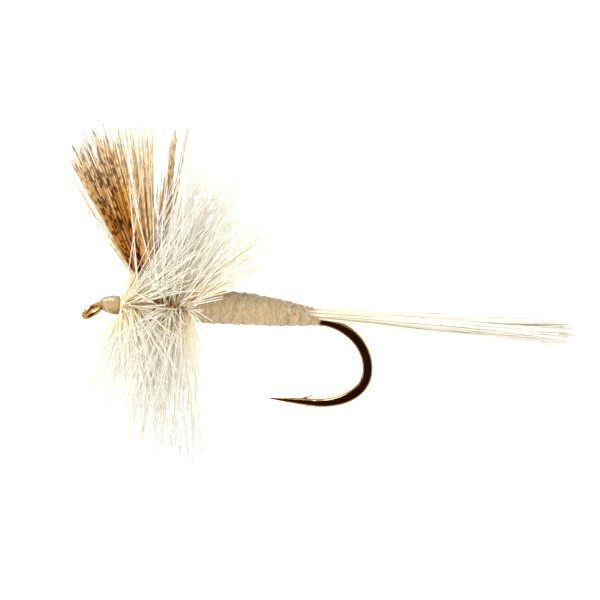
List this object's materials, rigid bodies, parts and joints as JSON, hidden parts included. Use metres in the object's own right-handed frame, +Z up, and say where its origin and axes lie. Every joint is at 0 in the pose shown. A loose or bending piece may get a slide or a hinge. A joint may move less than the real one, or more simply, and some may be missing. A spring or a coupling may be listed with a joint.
{
  "type": "dry fly",
  "caption": "Light-coloured dry fly on a down-eye hook, with divided upright barred wings, a wound cream hackle, a tapered fur body and a fibre tail.",
  "frame": {"origin": "centre of the bounding box's base, on the surface that the hackle tips and the hook or tail rest on", "axes": "+X from the hook's eye towards the tail, +Z up as the fly stands, -Y to the side seen with the eye at the left"},
  "size_m": [0.0256, 0.0148, 0.0178],
  "materials": {
    "bronzed_steel": "bronze lacquer over black steel, glossy",
    "cream_thread": "waxed thread, flat and close wound",
    "cream_hackle": "stiff glossy cock feather barbs",
    "cream_tail": "stiff glossy feather fibres",
    "barred_flank": "soft flank feather fibres, tan barred with dark brown",
    "cream_fur": "spun fur, matt and slightly hairy",
    "clear_varnish": "clear glossy head varnish"
  },
  "bodies": {
    "root": {"body_dubbing": "cream_fur", "butt_lashing": "cream_thread", "hackle_first": "cream_hackle", "hackle_second": "cream_hackle", "head_varnish": "clear_varnish", "head_wraps": "cream_thread", "hook": "bronzed_steel", "tail_fibre_01": "cream_tail", "tail_fibre_02": "cream_tail", "tail_fibre_03": "cream_tail", "tail_fibre_04": "cream_tail", "tail_fibre_05": "cream_tail", "tail_fibre_06": "cream_tail", "tail_fibre_07": "cream_tail", "tail_fibre_08": "cream_tail", "tail_fibre_09": "cream_tail", "tail_fibre_10": "cream_tail", "tail_fibre_11": "cream_tail", "tail_fibre_12": "cream_tail", "tail_fibre_13": "cream_tail", "tail_lashing": "cream_thread", "thread_base": "cream_thread", "wing_dam": "cream_thread", "wing_fibre_left_1": "barred_flank", "wing_fibre_left_2": "barred_flank", "wing_fibre_left_3": "barred_flank", "wing_fibre_left_4": "barred_flank", "wing_fibre_left_5": "barred_flank", "wing_fibre_left_6": "barred_flank", "wing_fibre_left_7": "barred_flank", "wing_fibre_left_8": "barred_flank", "wing_fibre_left_9": "barred_flank", "wing_fibre_right_1": "barred_flank", "wing_fibre_right_2": "barred_flank", "wing_fibre_right_3": "barred_flank", "wing_fibre_right_4": "barred_flank", "wing_fibre_right_5": "barred_flank", "wing_fibre_right_6": "barred_flank", "wing_fibre_right_7": "barred_flank", "wing_fibre_right_8": "barred_flank", "wing_fibre_right_9": "barred_flank", "wing_lashing": "cream_thread", "wing_post_left": "cream_thread", "wing_post_right": "cream_thread"}
  },
  "joints": []
}
